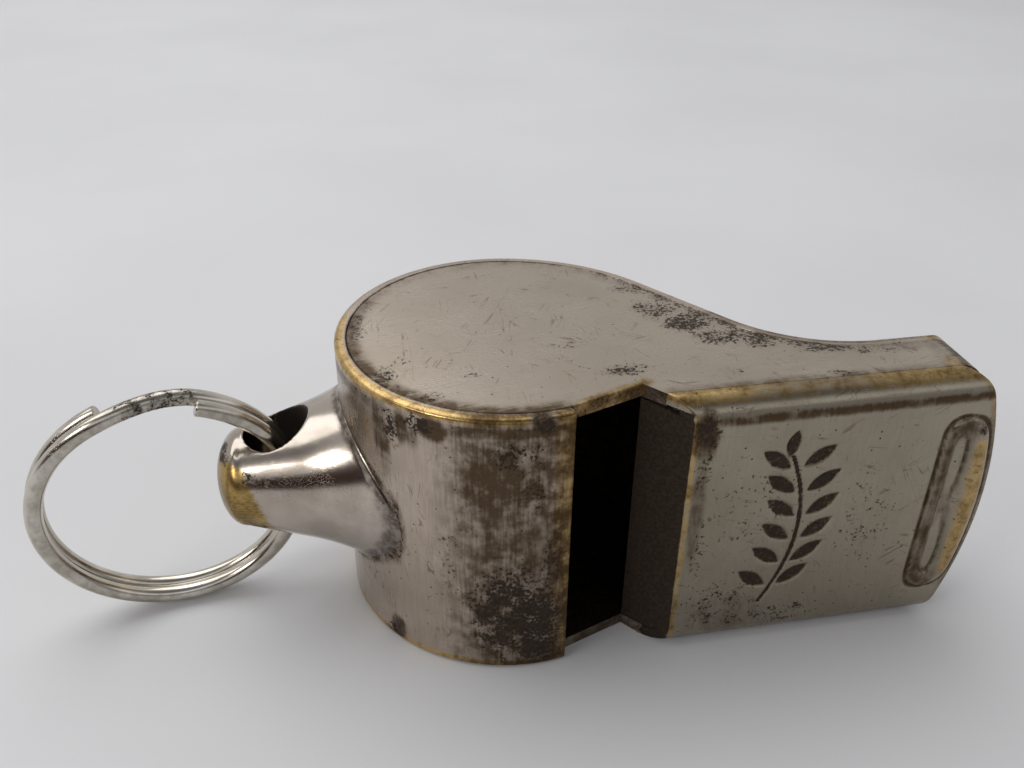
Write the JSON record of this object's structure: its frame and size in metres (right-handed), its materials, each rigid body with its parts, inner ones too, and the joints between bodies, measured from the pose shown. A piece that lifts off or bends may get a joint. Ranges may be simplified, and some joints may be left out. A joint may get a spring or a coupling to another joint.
{
  "type": "pea whistle",
  "caption": "Training whistle of worn plated brass: snail-shaped sound chamber with a loose cork pea, flat mouthpiece with tooth grip, drilled ring post and split ring.",
  "frame": {"origin": "barrel axis on the outer face of the lower side plate, where the whistle rests on a table", "axes": "+Z along the barrel axis towards the upper side plate, +X towards the mouth end, -Y towards the side with the sound window"},
  "size_m": [0.0627, 0.0231, 0.02],
  "materials": {
    "side_plating": "worn nickel plating with fine scratches, tarnish spots and brass showing at the edges",
    "strip_plating": "worn nickel plating with brown stains and brass showing along the rims and the lip",
    "mouthpiece_plating": "satin worn nickel plating with pits, brass showing at the bend and the tooth grip",
    "inner_brass": "dark tarnished brass",
    "post_plating": "smooth polished nickel plating, worn to brass at the nose",
    "ring_steel": "bright nickel plated wire with dark tarnish at the crossover",
    "cork": "natural cork with dark pores"
  },
  "bodies": {
    "whistle": {"upper_side_plate": "side_plating", "lower_side_plate": "side_plating", "barrel_strip": "strip_plating", "mouthpiece_plate": "mouthpiece_plating", "windway_tongue": "inner_brass", "ring_post": "post_plating"},
    "split_ring": {"split_ring": "ring_steel"},
    "pea": {"pea": "cork"}
  },
  "joints": [
    {"name": "ring_swing", "type": "hinge", "parent": "whistle", "child": "split_ring", "pos_m": [-0.0157, 0, 0.01], "axis": [0, 0, 1], "range_deg": [-120, 90]},
    {"name": "pea_orbit", "type": "hinge", "parent": "whistle", "child": "pea", "pos_m": [0, 0, 0.0065], "axis": [0, 0, 1], "continuous": true}
  ]
}
